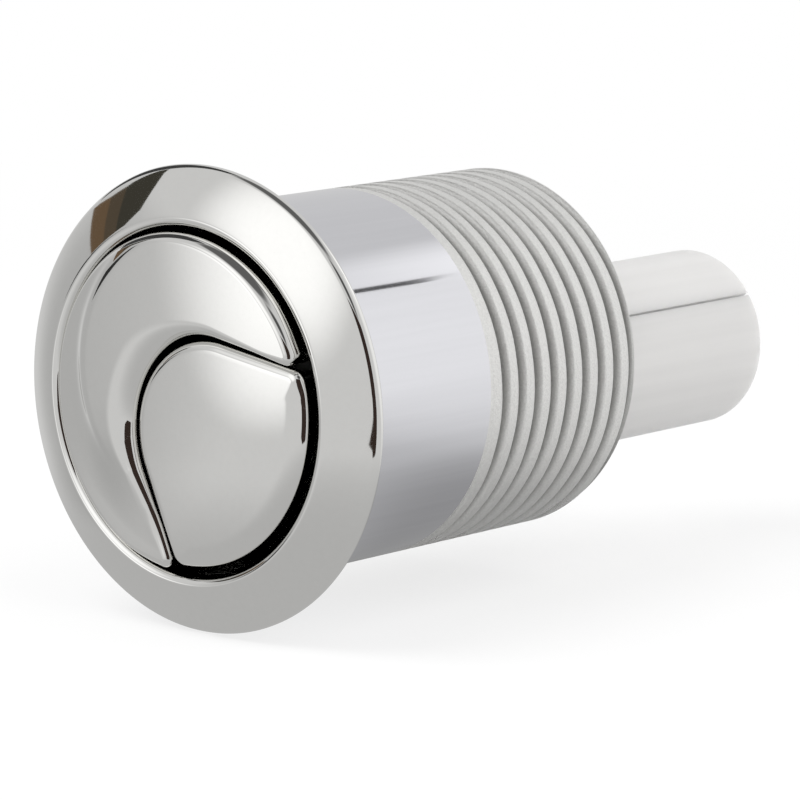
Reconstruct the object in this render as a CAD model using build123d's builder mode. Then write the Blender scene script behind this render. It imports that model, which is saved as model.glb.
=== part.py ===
"""Push button cistern actuator: a chromed dual flush button with a threaded barrel and two push rods.

The origin is the centre of the flange seat. The button looks towards -Y, the rods leave towards +Y,
+X is the right hand of someone facing the button and +Z is up. All sizes are in millimetres.
"""
import os
from math import acos, atan2, cos, hypot, radians, sin, sqrt

from build123d import *

# Barrel and flange; the barrel's radius sets the size of everything on the face
barrel_radius = 19.0
barrel_wall = 1.5
neck_length = 20.6
end_chamfer = 0.4
flange_width = 4.7
rim_land = 1.5
rim_taper = 1.1
ridge_width = 0.6
ridge_height = 4.1
cone_bulge = 0.25
lip_round = 0.45

# Thread on the barrel, drawn as rings at the true pitch
thread_pitch = 2.56
thread_turns = 9
thread_lead = 1.8
thread_tail = 1.42
thread_wall = 1.75
groove_depth = 1.05
groove_share = 0.7
groove_floor = 0.4

# Room inside the barrel, from the front to the back
well_depth = 12.0
land_width = 1.4
land_length = 2.0
ring_groove_depth = 0.9

# Clearances
full_side_gap = 0.4
half_side_gap = 1.1
slide_gap = 0.45
seat_gap = 0.1
stem_gap = 0.3
stem_room = 0.35
spring_room = 0.3
stop_gap = 0.5

# Outline of the small button along its own axis; the shares are parts of the opening's radius
egg_axis_angle = -38.0
egg_centre_share = 0.28
egg_arc_share = 0.555
egg_corner_angle = 55.5
egg_corner_round = 1.6

# Caps and how far they are pressed
button_travel = 6.0
cap_wall = 1.5
cap_tip_round = 0.9
full_proud = 2.0
full_top_wall = 4.1
full_edge_round = 0.8
crown_shift_right = 1.5
crown_shift_up = 3.0
crown_shoulder = 2.9
crown_flat_drop = 0.25
crown_step_width = 1.2
crown_step_drop = 0.37
crown_flare_width = 2.6
crown_flare_drop = 0.87
roll_width = 5.0
roll_end_width = 1.5
roll_depth = 2.25
roll_rise = 0.15
roll_start = 0.1
roll_steps = (0.0, 0.45, 0.75, 0.96)
half_proud = 0.9
half_top_wall = 1.7
half_edge_round = 1.0

# Plungers in the caps
slider_thickness = 2.5
socket_depth = 5.0

# Guide plate and the snap ring behind it
guide_thickness = 3.0
cup_depth = 0.8
cup_room = 0.35
ring_thickness = 1.2
ring_width = 2.0
ring_opening = 7.0

# Return springs
spring_wire = 0.8
spring_turns = 5

# Rods at the back
rod_radius = 9.6
rod_centre = 3.7
rod_reach = 30.7
rod_slit = 0.25
rod_split_turn = -17.0
rod_end_chamfer = 0.4
half_stem_step = 4.1
foot_wall = 1.1
foot_floor = 1.5

# Radii that follow from the sizes above
opening_radius = barrel_radius - barrel_wall
ridge_radius = opening_radius + ridge_width
flange_radius = barrel_radius + flange_width
bore_radius = barrel_radius - groove_depth - thread_wall
land_radius = bore_radius - land_width
ring_radius = bore_radius + ring_groove_depth
cap_outer_radius = opening_radius - full_side_gap
cap_inner_radius = cap_outer_radius - cap_wall
crown_flat_radius = cap_outer_radius - crown_shoulder
crown_step_radius = crown_flat_radius + crown_step_width
crown_flare_radius = crown_step_radius + crown_flare_width
egg_outer_radius = opening_radius - half_side_gap
egg_inner_radius = egg_outer_radius - cap_wall
egg_arc_centre = opening_radius * egg_centre_share
egg_arc_radius = opening_radius * egg_arc_share
outline_reach = 2 * opening_radius
pocket_back = egg_arc_radius - egg_arc_centre + slide_gap + cap_wall
spring_outer_radius = (land_radius - pocket_back) / 2 - spring_room
spring_radius = spring_outer_radius - spring_wire / 2
stem_radius = spring_radius - spring_wire / 2 - stem_room
cup_radius = spring_outer_radius + cup_room
foot_radius = stem_radius + foot_wall

# Places along the small button's axis and along the barrel that follow from them
full_stem_place = -(land_radius + pocket_back) / 2
half_stem_place = rod_centre + half_stem_step
full_top = ridge_height + full_proud
full_ceiling = full_top - full_top_wall
half_top = ridge_height + half_proud
half_ceiling = half_top - half_top_wall
full_plate_back = slider_thickness - full_ceiling
half_plate_back = slider_thickness - half_ceiling
cap_skirt_end = well_depth - button_travel - stop_gap
guide_front = well_depth + land_length
guide_back = guide_front + guide_thickness
cup_floor = guide_front + cup_depth
ring_back = guide_back + ring_thickness
stem_end = guide_back + socket_depth
foot_back = stem_end + foot_floor
groove_mouth = thread_pitch * groove_share
thread_first = neck_length + thread_lead
barrel_end = thread_first + (thread_turns - 1) * thread_pitch + thread_tail
rod_end = barrel_end + rod_reach
egg_direction = Vector(cos(radians(egg_axis_angle)), 0, sin(radians(egg_axis_angle)))
rod_split = Location((rod_centre, 0, 0), (0, 0, rod_split_turn))


def station(y):
    """Plane across the axis at y: x runs along the axis of the small button, the normal looks to the front."""
    return Plane(origin=(0, y, 0), x_dir=egg_direction, z_dir=(0, -1, 0))


def egg_outline(spread=0.0, grow=0.0, mode=Mode.ADD):
    """Face of the egg outline, left long on its open side for a circle to trim.

    spread pushes the round end outwards and leaves the corners; grow moves the whole outline outwards.
    """
    centre = Vector(egg_arc_centre - spread / 2, 0)
    radius = egg_arc_radius + spread / 2
    corner_turn = radians(egg_corner_angle)
    corner = Vector(cos(corner_turn), sin(corner_turn)) * egg_outer_radius
    arm = corner - centre
    side_turn = atan2(arm.Y, arm.X) + acos(radius / arm.length)
    outward = Vector(cos(side_turn), sin(side_turn))
    along = Vector(outward.Y, -outward.X)
    leave = centre + outward * (radius + grow)
    run_out = leave + along * outline_reach
    apex = centre - Vector(radius + grow, 0)
    with BuildLine() as outline:
        Line(run_out, leave)
        ThreePointArc(leave, apex, Vector(leave.X, -leave.Y))
        Line(Vector(leave.X, -leave.Y), Vector(run_out.X, -run_out.Y))
        Line(Vector(run_out.X, -run_out.Y), run_out)
    make_face(outline.edges(), mode=mode)


def egg_region(radius, grow):
    """The egg outline trimmed by a circle round the axis."""
    egg_outline(grow=grow)
    Circle(radius, mode=Mode.INTERSECT)


def crescent_region(radius, grow):
    """A circle round the axis with the egg outline taken out of it."""
    Circle(radius)
    egg_outline(grow=grow, mode=Mode.SUBTRACT)


def rim_corners(sketch, radius):
    """Corners of a sketch that lie on its circle round the axis."""
    return [v for v in sketch.vertices() if abs(hypot(v.X, v.Y) - radius) < seat_gap]


def coil(front, back, place):
    """Square wire spring round the stem at the given place, between its two seats."""
    centre = egg_direction * place + Vector(0, front + spring_wire / 2, 0)
    height = back - front - spring_wire
    with BuildPart() as spring:
        with BuildLine() as path:
            Helix(height / spring_turns, height, spring_radius, center=centre, direction=(0, 1, 0))
        with BuildSketch(Plane(origin=path.line @ 0, x_dir=(0, 1, 0), z_dir=path.line % 0)):
            Rectangle(spring_wire, spring_wire)
        sweep(path=path.line, is_frenet=True)
    return spring.part


os.makedirs("parts", exist_ok=True)

# Chromed body: flange with a convex cone, smooth neck, thread and stepped bore, turned in one profile
with BuildPart() as bezel_body:
    with BuildSketch(Plane.XY):
        with BuildLine():
            lip_start = (opening_radius, lip_round - ridge_height)
            ridge = (ridge_radius, -ridge_height)
            rim_front = (flange_radius, -rim_land)
            cone_middle = (
                (ridge_radius + flange_radius) / 2 + cone_bulge / 2,
                -(ridge_height + rim_land) / 2 - cone_bulge,
            )
            Line((opening_radius, well_depth), lip_start)
            TangentArc(lip_start, ridge, tangent=(0, -1))
            ThreePointArc(ridge, cone_middle, rim_front)
            points = [rim_front, (flange_radius - rim_taper, 0), (barrel_radius, 0)]
            for turn in range(thread_turns):
                middle = thread_first + turn * thread_pitch
                points.append((barrel_radius, middle - groove_mouth / 2))
                points.append((barrel_radius - groove_depth, middle - groove_floor / 2))
                points.append((barrel_radius - groove_depth, middle + groove_floor / 2))
                points.append((barrel_radius, middle + groove_mouth / 2))
            points.append((barrel_radius, barrel_end - end_chamfer))
            points.append((barrel_radius - end_chamfer, barrel_end))
            points.append((bore_radius, barrel_end))
            points.append((bore_radius, ring_back + seat_gap))
            points.append((ring_radius, ring_back + seat_gap))
            points.append((ring_radius, guide_back))
            points.append((bore_radius, guide_back))
            points.append((bore_radius, guide_front))
            points.append((land_radius, guide_front))
            points.append((land_radius, well_depth))
            points.append((opening_radius, well_depth))
            Polyline(*points)
        make_face()
    revolve(axis=Axis.Y)
bezel_body.part.label = "bezel_body"
export_step(bezel_body.part, "parts/bezel_body.step")

# Large button: a crescent with a raised round crown that steps down to a flared rim and rolls over into the pocket
with BuildPart() as full_flush_cap:
    with BuildSketch(station(cap_skirt_end)) as crescent:
        crescent_region(cap_outer_radius, slide_gap)
        fillet(rim_corners(crescent, cap_outer_radius), cap_tip_round)
    extrude(amount=cap_skirt_end + full_top)
    crown_foot = Vector(crown_shift_right, 0, crown_shift_up)
    with BuildSketch(Plane(origin=crown_foot, x_dir=(1, 0, 0), z_dir=(0, 0, 1))):
        with BuildLine():
            flat_end = Vector(crown_flat_radius, crown_flat_drop - full_top)
            step_end = Vector(crown_step_radius, flat_end.Y + crown_step_drop)
            flare_end = Vector(crown_flare_radius, step_end.Y + crown_flare_drop)
            crown_flat = TangentArc((0, -full_top), flat_end, tangent=(1, 0))
            crown_step = TangentArc(flat_end, step_end, tangent=crown_flat % 1)
            crown_flare = TangentArc(step_end, flare_end, tangent=crown_step % 1)
            crown_end = flare_end + (crown_flare % 1) * crown_shift_up * 2
            Polyline(flare_end, crown_end, (crown_end.X, cap_skirt_end), (0, cap_skirt_end), (0, -full_top))
        make_face()
    revolve(axis=Axis(crown_foot, (0, 1, 0)), mode=Mode.INTERSECT)
    rim_edges = [
        edge
        for edge in full_flush_cap.edges()
        if edge.center().Y < -full_ceiling and hypot(edge.center().X, edge.center().Z) > cap_inner_radius
    ]
    fillet(rim_edges, full_edge_round)
    for step in roll_steps:
        opened = 1 - sqrt(1 - step**2)
        with BuildSketch(station(roll_depth * (1 - step) - full_top - roll_rise)):
            egg_outline((roll_width - roll_end_width) * opened, slide_gap - roll_start + roll_end_width * opened)
    loft(mode=Mode.SUBTRACT)
    with BuildSketch(station(cap_skirt_end)):
        crescent_region(cap_inner_radius, slide_gap + cap_wall)
    extrude(amount=cap_skirt_end + full_ceiling, mode=Mode.SUBTRACT)
full_flush_cap.part.label = "full_flush_cap"
export_step(full_flush_cap.part, "parts/full_flush_cap.step")

# Small button: an egg with a flat top, a rounded edge and a skirt
with BuildPart() as half_flush_cap:
    with BuildSketch(station(cap_skirt_end)) as egg:
        egg_region(egg_outer_radius, 0)
        fillet(rim_corners(egg, egg_outer_radius), egg_corner_round)
    extrude(amount=cap_skirt_end + half_top)
    fillet(half_flush_cap.faces().sort_by(Axis.Y)[0].edges(), half_edge_round)
    with BuildSketch(station(cap_skirt_end)):
        egg_region(egg_inner_radius, -cap_wall)
    extrude(amount=cap_skirt_end + half_ceiling, mode=Mode.SUBTRACT)
half_flush_cap.part.label = "half_flush_cap"
export_step(half_flush_cap.part, "parts/half_flush_cap.step")

# White plunger of the large button: a crescent plate under the cap and a round stem
with BuildPart() as full_flush_slider:
    with BuildSketch(station(full_plate_back)):
        crescent_region(cap_inner_radius - seat_gap, slide_gap + cap_wall + seat_gap)
    extrude(amount=slider_thickness)
    with BuildSketch(station(stem_end)):
        with Locations((full_stem_place, 0)):
            Circle(stem_radius)
    extrude(amount=stem_end - full_plate_back)
full_flush_slider.part.label = "full_flush_slider"
export_step(full_flush_slider.part, "parts/full_flush_slider.step")

# White plunger of the small button: an egg plate under the cap and a round stem
with BuildPart() as half_flush_slider:
    with BuildSketch(station(half_plate_back)):
        egg_region(egg_inner_radius - seat_gap, -cap_wall - seat_gap)
    extrude(amount=slider_thickness)
    with BuildSketch(station(stem_end)):
        with Locations((half_stem_place, 0)):
            Circle(stem_radius)
    extrude(amount=stem_end - half_plate_back)
half_flush_slider.part.label = "half_flush_slider"
export_step(half_flush_slider.part, "parts/half_flush_slider.step")

# Return springs round the stems, between the plunger plates and the cups of the guide plate
with BuildPart() as full_flush_spring:
    add(coil(full_plate_back, cup_floor, full_stem_place))
full_flush_spring.part.label = "full_flush_spring"
export_step(full_flush_spring.part, "parts/full_flush_spring.step")

with BuildPart() as half_flush_spring:
    add(coil(half_plate_back, cup_floor, half_stem_place))
half_flush_spring.part.label = "half_flush_spring"
export_step(half_flush_spring.part, "parts/half_flush_spring.step")

# Guide plate against the land of the barrel, with a bore and a spring cup for each stem
with BuildPart() as guide_plate:
    with BuildSketch(station(guide_back)):
        Circle(bore_radius - seat_gap)
        with Locations((full_stem_place, 0), (half_stem_place, 0)):
            Circle(stem_radius + stem_gap, mode=Mode.SUBTRACT)
    extrude(amount=guide_thickness)
    with BuildSketch(station(cup_floor)):
        with Locations((full_stem_place, 0), (half_stem_place, 0)):
            Circle(cup_radius)
    extrude(amount=cup_depth, mode=Mode.SUBTRACT)
guide_plate.part.label = "guide_plate"
export_step(guide_plate.part, "parts/guide_plate.step")

# Open snap ring in the groove behind the guide plate
with BuildPart() as retaining_ring:
    with BuildSketch(station(ring_back)):
        Circle(ring_radius - seat_gap)
        Circle(ring_radius - seat_gap - ring_width, mode=Mode.SUBTRACT)
        with Locations((ring_radius, 0)):
            Rectangle(ring_radius, ring_opening, mode=Mode.SUBTRACT)
    extrude(amount=ring_thickness)
retaining_ring.part.label = "retaining_ring"
export_step(retaining_ring.part, "parts/retaining_ring.step")

# Rod of the large button: half a round bar with a foot that reaches out under its stem
with BuildPart() as full_flush_rod:
    with BuildSketch(station(rod_end)):
        with Locations((rod_centre, 0)):
            Circle(rod_radius)
        with Locations(rod_split):
            with Locations((-rod_slit / 2, 0)):
                Rectangle(rod_radius, 2 * rod_radius, align=(Align.MAX, Align.CENTER), mode=Mode.INTERSECT)
    extrude(amount=rod_end - guide_back)
    chamfer(full_flush_rod.faces().sort_by(Axis.Y)[-1].edges(), rod_end_chamfer)
    with BuildSketch(station(foot_back)):
        with Locations((full_stem_place, 0)):
            Circle(foot_radius)
            Rectangle(rod_centre - full_stem_place - foot_radius, 2 * foot_radius, align=(Align.MIN, Align.CENTER))
    extrude(amount=foot_back - guide_back)
    with BuildSketch(station(stem_end)):
        with Locations((full_stem_place, 0)):
            Circle(stem_radius + seat_gap)
    extrude(amount=socket_depth, mode=Mode.SUBTRACT)
full_flush_rod.part.label = "full_flush_rod"
export_step(full_flush_rod.part, "parts/full_flush_rod.step")

# Rod of the small button: the other half of the bar, straight behind its stem
with BuildPart() as half_flush_rod:
    with BuildSketch(station(rod_end)):
        with Locations((rod_centre, 0)):
            Circle(rod_radius)
        with Locations(rod_split):
            with Locations((rod_slit / 2, 0)):
                Rectangle(rod_radius, 2 * rod_radius, align=(Align.MIN, Align.CENTER), mode=Mode.INTERSECT)
    extrude(amount=rod_end - guide_back)
    chamfer(half_flush_rod.faces().sort_by(Axis.Y)[-1].edges(), rod_end_chamfer)
    with BuildSketch(station(stem_end)):
        with Locations((half_stem_place, 0)):
            Circle(stem_radius + seat_gap)
    extrude(amount=socket_depth, mode=Mode.SUBTRACT)
half_flush_rod.part.label = "half_flush_rod"
export_step(half_flush_rod.part, "parts/half_flush_rod.step")
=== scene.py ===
"""Blender scene of the push button cistern actuator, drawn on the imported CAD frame.

The chromed pieces are redrawn as fine meshes so that their reflections run smoothly, the thread becomes
a true helix and the springs become round wire. Everything else keeps its CAD solid and gets a finish.
"""
import logging
import math
from dataclasses import dataclass, field
from enum import Enum, IntEnum

import bmesh
import bpy
from mathutils import Matrix, Vector


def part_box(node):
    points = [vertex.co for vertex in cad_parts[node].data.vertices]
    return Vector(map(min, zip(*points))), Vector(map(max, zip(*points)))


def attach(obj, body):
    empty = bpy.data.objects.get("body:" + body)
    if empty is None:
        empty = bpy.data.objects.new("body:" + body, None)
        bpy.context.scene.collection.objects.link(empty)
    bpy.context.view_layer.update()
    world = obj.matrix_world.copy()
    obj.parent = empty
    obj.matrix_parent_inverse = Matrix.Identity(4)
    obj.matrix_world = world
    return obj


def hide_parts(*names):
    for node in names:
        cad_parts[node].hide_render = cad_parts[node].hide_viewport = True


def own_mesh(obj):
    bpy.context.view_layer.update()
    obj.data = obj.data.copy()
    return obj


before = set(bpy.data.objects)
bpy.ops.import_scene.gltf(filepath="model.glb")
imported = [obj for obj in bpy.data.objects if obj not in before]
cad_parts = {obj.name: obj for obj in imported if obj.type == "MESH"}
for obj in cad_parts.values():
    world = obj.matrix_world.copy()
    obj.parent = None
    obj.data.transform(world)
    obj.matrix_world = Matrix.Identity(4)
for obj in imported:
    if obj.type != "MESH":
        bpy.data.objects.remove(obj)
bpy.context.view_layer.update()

log = logging.getLogger("cistern_button")

MM = 0.001
TAU = 2.0 * math.pi
QUARTER_TURN = math.pi / 2.0

# Length that stands in for zero in a division
SMALLEST = 1e-9

# Distance in millimetres of the extra row that keeps a wall straight next to a rounding
HOLD = 0.05

Point2 = tuple[float, float]
Point3 = tuple[float, float, float]
Corner = tuple[float, float, float]
Range = tuple[float, float]
Colour = tuple[float, float, float, float]


class Body(str, Enum):
    """Names of the moving and fixed bodies of the frame."""

    FIXED = "body"
    FULL = "full_flush"
    HALF = "half_flush"


class Slot(str, Enum):
    """Material slots of the record."""

    CHROME = "chrome"
    WHITE = "white_plastic"
    MILKY = "milky_plastic"
    STEEL = "spring_steel"


class BarrelPart(IntEnum):
    """Parts of the barrel that have a finish of their own, in the order of the mesh's materials."""

    FLANGE = 0
    NECK = 1
    THREAD = 2
    BORE = 3


class Grain(Enum):
    """Fine texture of a finish."""

    SPECKLE = "speckle"
    STREAKS = "streaks"


class Ease(str, Enum):
    """How a shader ramp runs between its ends."""

    LINEAR = "LINEAR"
    SMOOTH = "SMOOTHSTEP"


class Socket(str, Enum):
    """Socket types of the node groups."""

    NUMBER = "NodeSocketFloat"
    VECTOR = "NodeSocketVector"


def grey(value: float, tint: Point3 = (1.0, 1.0, 1.0)) -> Colour:
    """Makes a colour from one level.

    Args:
        value: Linear level of the grey.
        tint: Factor for each channel.

    Returns:
        Colour with full alpha.
    """
    return (value * tint[0], value * tint[1], value * tint[2], 1.0)


def smoothstep(low: float, high: float, value: float) -> float:
    """Eases from 0 at low to 1 at high.

    Args:
        low: Value where the step starts.
        high: Value where the step ends.
        value: Value to ease.

    Returns:
        Share from 0 to 1.
    """
    share = min(max((value - low) / (high - low), 0.0), 1.0)
    return share * share * (3.0 - 2.0 * share)


@dataclass
class MeshDraft:
    """Vertices and faces in millimetres that become one Blender mesh."""

    name: str
    vertices: list[Point3] = field(default_factory=list)
    faces: list[tuple[int, ...]] = field(default_factory=list)
    marks: list[int] = field(default_factory=list)

    def row(self, points: list[Point3]) -> list[int]:
        """Adds a row of vertices.

        Args:
            points: Places in millimetres.

        Returns:
            Indices of the new vertices.
        """
        start = len(self.vertices)
        self.vertices.extend(points)
        return list(range(start, start + len(points)))

    def band(self, one: list[int], two: list[int], closed: bool = True, mark: int = 0) -> None:
        """Joins two rows of the same length with quads.

        Args:
            one: First row.
            two: Second row.
            closed: Whether the last vertices join the first ones.
            mark: Material index of the quads.
        """
        count = len(one)
        for i in range(count if closed else count - 1):
            j = (i + 1) % count
            self.face((one[i], one[j], two[j], two[i]), mark)

    def fan(self, row: list[int], centre: int) -> None:
        """Closes a row onto one vertex.

        Args:
            row: Closed row of vertices.
            centre: Vertex in the middle.
        """
        for i, first in enumerate(row):
            self.face((first, row[(i + 1) % len(row)], centre))

    def face(self, corners: tuple[int, ...], mark: int = 0) -> None:
        """Adds one face and drops corners that repeat.

        Args:
            corners: Vertex indices.
            mark: Material index.
        """
        kept = tuple(dict.fromkeys(corners))
        if len(kept) > 2:
            self.faces.append(kept)
            self.marks.append(mark)

    def build(self, materials: list[bpy.types.Material]) -> bpy.types.Object:
        """Makes the smooth shaded object with its normals outwards.

        Args:
            materials: Materials in the order of the marks.

        Returns:
            The new object, linked to the scene.
        """
        mesh = bpy.data.meshes.new(self.name)
        mesh.from_pydata([tuple(c * MM for c in v) for v in self.vertices], [], self.faces)
        for material in materials:
            mesh.materials.append(material)
        mesh.polygons.foreach_set("material_index", self.marks)
        mesh.polygons.foreach_set("use_smooth", [True] * len(self.faces))
        shape = bmesh.new()
        shape.from_mesh(mesh)
        bmesh.ops.recalc_face_normals(shape, faces=shape.faces)
        shape.to_mesh(mesh)
        shape.free()
        built = bpy.data.objects.new(self.name, mesh)
        bpy.context.scene.collection.objects.link(built)
        return built


def arc(centre: Point2, radius: float, start: float, end: float, count: int) -> list[Point2]:
    """Points on an arc, both ends included.

    Args:
        centre: Centre of the arc.
        radius: Radius of the arc.
        start: Start angle in radians.
        end: End angle in radians.
        count: Number of steps.

    Returns:
        List of points.
    """
    turns = [start + (end - start) * i / count for i in range(count + 1)]
    return [(centre[0] + radius * math.cos(t), centre[1] + radius * math.sin(t)) for t in turns]


def resample(path: list[Point2], count: int) -> list[Point2]:
    """Spreads points evenly along a polyline.

    Args:
        path: Polyline to follow.
        count: Number of points, ends included.

    Returns:
        Points at even distances.
    """
    lengths = [0.0]
    for a, b in zip(path, path[1:]):
        lengths.append(lengths[-1] + math.dist(a, b))
    spread: list[Point2] = []
    k = 0
    for i in range(count):
        aim = lengths[-1] * i / (count - 1)
        while k < len(path) - 2 and lengths[k + 1] < aim:
            k += 1
        span = max(lengths[k + 1] - lengths[k], SMALLEST)
        share = (aim - lengths[k]) / span
        a, b = path[k], path[k + 1]
        spread.append((a[0] + (b[0] - a[0]) * share, a[1] + (b[1] - a[1]) * share))
    return spread


def rounded(corners: list[Corner], steps: int = 6) -> list[Point2]:
    """Rounds the corners of an open profile and holds each straight run with a close point.

    Args:
        corners: Radius, place and rounding of each corner.
        steps: Steps on each rounding.

    Returns:
        Profile points.
    """
    profile: list[Point2] = [corners[0][:2]]
    for before, here, after in zip(corners, corners[1:], corners[2:]):
        point = Vector(here[:2])
        back = (Vector(before[:2]) - point).normalized()
        ahead = (Vector(after[:2]) - point).normalized()
        if here[2] <= 0.0:
            profile.append(tuple(point))
            continue
        half = back.angle(ahead) / 2.0
        reach = here[2] / math.tan(half)
        centre = point + (back + ahead).normalized() * (here[2] / math.sin(half))
        first = point + back * reach
        last = point + ahead * reach
        profile.append(tuple(first + back * HOLD))
        for i in range(steps + 1):
            mix = first.lerp(last, i / steps) - centre
            profile.append(tuple(centre + mix.normalized() * here[2]))
        profile.append(tuple(last + ahead * HOLD))
    profile.append(corners[-1][:2])
    return profile


def inward_normals(loop: list[Point2]) -> list[Point2]:
    """Unit normals into the material along a closed loop.

    Args:
        loop: Points of the loop.

    Returns:
        One normal per point.
    """
    normals: list[Point2] = []
    area = sum(a[0] * b[1] - b[0] * a[1] for a, b in zip(loop, loop[1:] + loop[:1]))
    sign = 1.0 if area > 0.0 else -1.0
    for i in range(len(loop)):
        a, b = loop[i - 1], loop[(i + 1) % len(loop)]
        length = max(math.dist(a, b), SMALLEST)
        normals.append((-(b[1] - a[1]) / length * sign, (b[0] - a[0]) / length * sign))
    return normals


@dataclass(frozen=True)
class Face:
    """Sizes of the button's face, in millimetres, as in the CAD source, and the steps of its curves."""

    axis_angle: float = -38.0
    egg_centre: float = 4.9
    egg_radius: float = 9.7125
    egg_outer: float = 16.4
    corner_angle: float = 55.5
    slide_gap: float = 0.45
    wall: float = 1.5
    skirt_end: float = 5.5
    bow_steps: int = 80
    bend_steps: int = 24
    egg_rim_steps: int = 60
    crescent_rim_steps: int = 160

    def place(self, u: float, v: float, y: float) -> Point3:
        """Turns a point on the small button's axes into the row frame.

        Args:
            u: Distance along the small button's axis.
            v: Distance across it.
            y: Place along the barrel.

        Returns:
            Point in millimetres.
        """
        turn = math.radians(self.axis_angle)
        return (u * math.cos(turn) - v * math.sin(turn), y, u * math.sin(turn) + v * math.cos(turn))

    def side(self, grow: float) -> tuple[Vector, Vector, Vector]:
        """Upper straight side of the egg outline.

        Args:
            grow: Distance by which the outline is moved outwards.

        Returns:
            Point where the side leaves the arc, its direction and its outward normal.
        """
        turn = math.radians(self.corner_angle)
        corner = Vector((math.cos(turn), math.sin(turn))) * self.egg_outer
        centre = Vector((self.egg_centre, 0.0))
        arm = corner - centre
        lean = math.atan2(arm.y, arm.x) + math.acos(self.egg_radius / arm.length)
        outward = Vector((math.cos(lean), math.sin(lean)))
        along = Vector((outward.y, -outward.x))
        return centre + outward * (self.egg_radius + grow), along, outward

    def half_outline(self, radius: float, grow: float, corner: float, sign: float) -> list[Point2]:
        """Upper half of the egg outline, from its apex to where a rounded corner meets the outer circle.

        Args:
            radius: Radius of the circle that trims the outline.
            grow: Distance by which the outline is moved outwards.
            corner: Radius of the rounding.
            sign: -1 rounds inside the egg, +1 rounds outside of it.

        Returns:
            Points from the apex to the circle.
        """
        leave, along, outward = self.side(grow)
        start = math.atan2(outward.y, outward.x)
        bow = arc((self.egg_centre, 0.0), self.egg_radius + grow, math.pi, start, self.bow_steps)
        base = leave + outward * (sign * corner)
        far = radius - corner
        turn = base.dot(along)
        run = -turn + math.sqrt(turn * turn - base.length_squared + far * far)
        middle = base + along * run
        first = leave + along * run
        end_turn = math.atan2(middle.y, middle.x)
        start_turn = math.atan2(first.y - middle.y, first.x - middle.x)
        if sign < 0.0:
            end_turn -= TAU if end_turn > start_turn else 0.0
        else:
            end_turn += TAU if end_turn < start_turn else 0.0
        bend = arc(tuple(middle), corner, start_turn, end_turn, self.bend_steps)
        return bow + [tuple(first - along * HOLD)] + bend

    def egg_loop(self, radius: float, grow: float, corner: float, count: int) -> list[Point2]:
        """Closed egg outline.

        Args:
            radius: Outer radius.
            grow: Distance by which the outline is moved outwards.
            corner: Radius of the two corners.
            count: Points on each half.

        Returns:
            Points from the apex round by the upper side, with the ends of the halves shared.
        """
        half = self.half_outline(radius, grow, corner, -1.0)
        end = math.atan2(half[-1][1], half[-1][0])
        half = resample(half + arc((0.0, 0.0), radius, end, 0.0, self.egg_rim_steps)[1:], count)
        return half + [(u, -v) for u, v in reversed(half[1:-1])]

    def crescent_paths(
        self, radius: float, grow: float, tip: float, count: int
    ) -> tuple[list[Point2], list[Point2]]:
        """Outer and inner edge of the crescent, both from the middle of its upper tip to the lower one.

        Args:
            radius: Outer radius.
            grow: Distance of the pocket from the egg outline.
            tip: Radius of the tips.
            count: Points on each path, odd so that one falls on the axis.

        Returns:
            Outer path and inner path.
        """
        half = self.half_outline(radius, grow, tip, 1.0)
        split = len(half) - 1 - self.bend_steps // 2
        end = math.atan2(half[-1][1], half[-1][0])
        rim = arc((0.0, 0.0), radius, end, math.pi, self.crescent_rim_steps)
        inner = resample(list(reversed(half[: split + 1])), count // 2 + 1)
        outer = resample(half[split:] + rim[1:], count // 2 + 1)
        return (
            outer + [(u, -v) for u, v in reversed(outer[:-1])],
            inner + [(u, -v) for u, v in reversed(inner[:-1])],
        )

    def skirt(
        self, draft: MeshDraft, loop: list[Point2], hollow: list[Point2], ceiling: float
    ) -> list[list[int]]:
        """Rows of a cap's inside and of the end of its skirt.

        Args:
            draft: Mesh that takes the rows.
            loop: Outline of the cap.
            hollow: Outline of its cavity.
            ceiling: Place of the cavity's ceiling along the barrel.

        Returns:
            Rows at the ceiling, at the inner end and at the outer end of the skirt.
        """
        return [
            draft.row([self.place(u, v, ceiling) for u, v in hollow]),
            draft.row([self.place(u, v, self.skirt_end) for u, v in hollow]),
            draft.row([self.place(u, v, self.skirt_end) for u, v in loop]),
        ]


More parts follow.
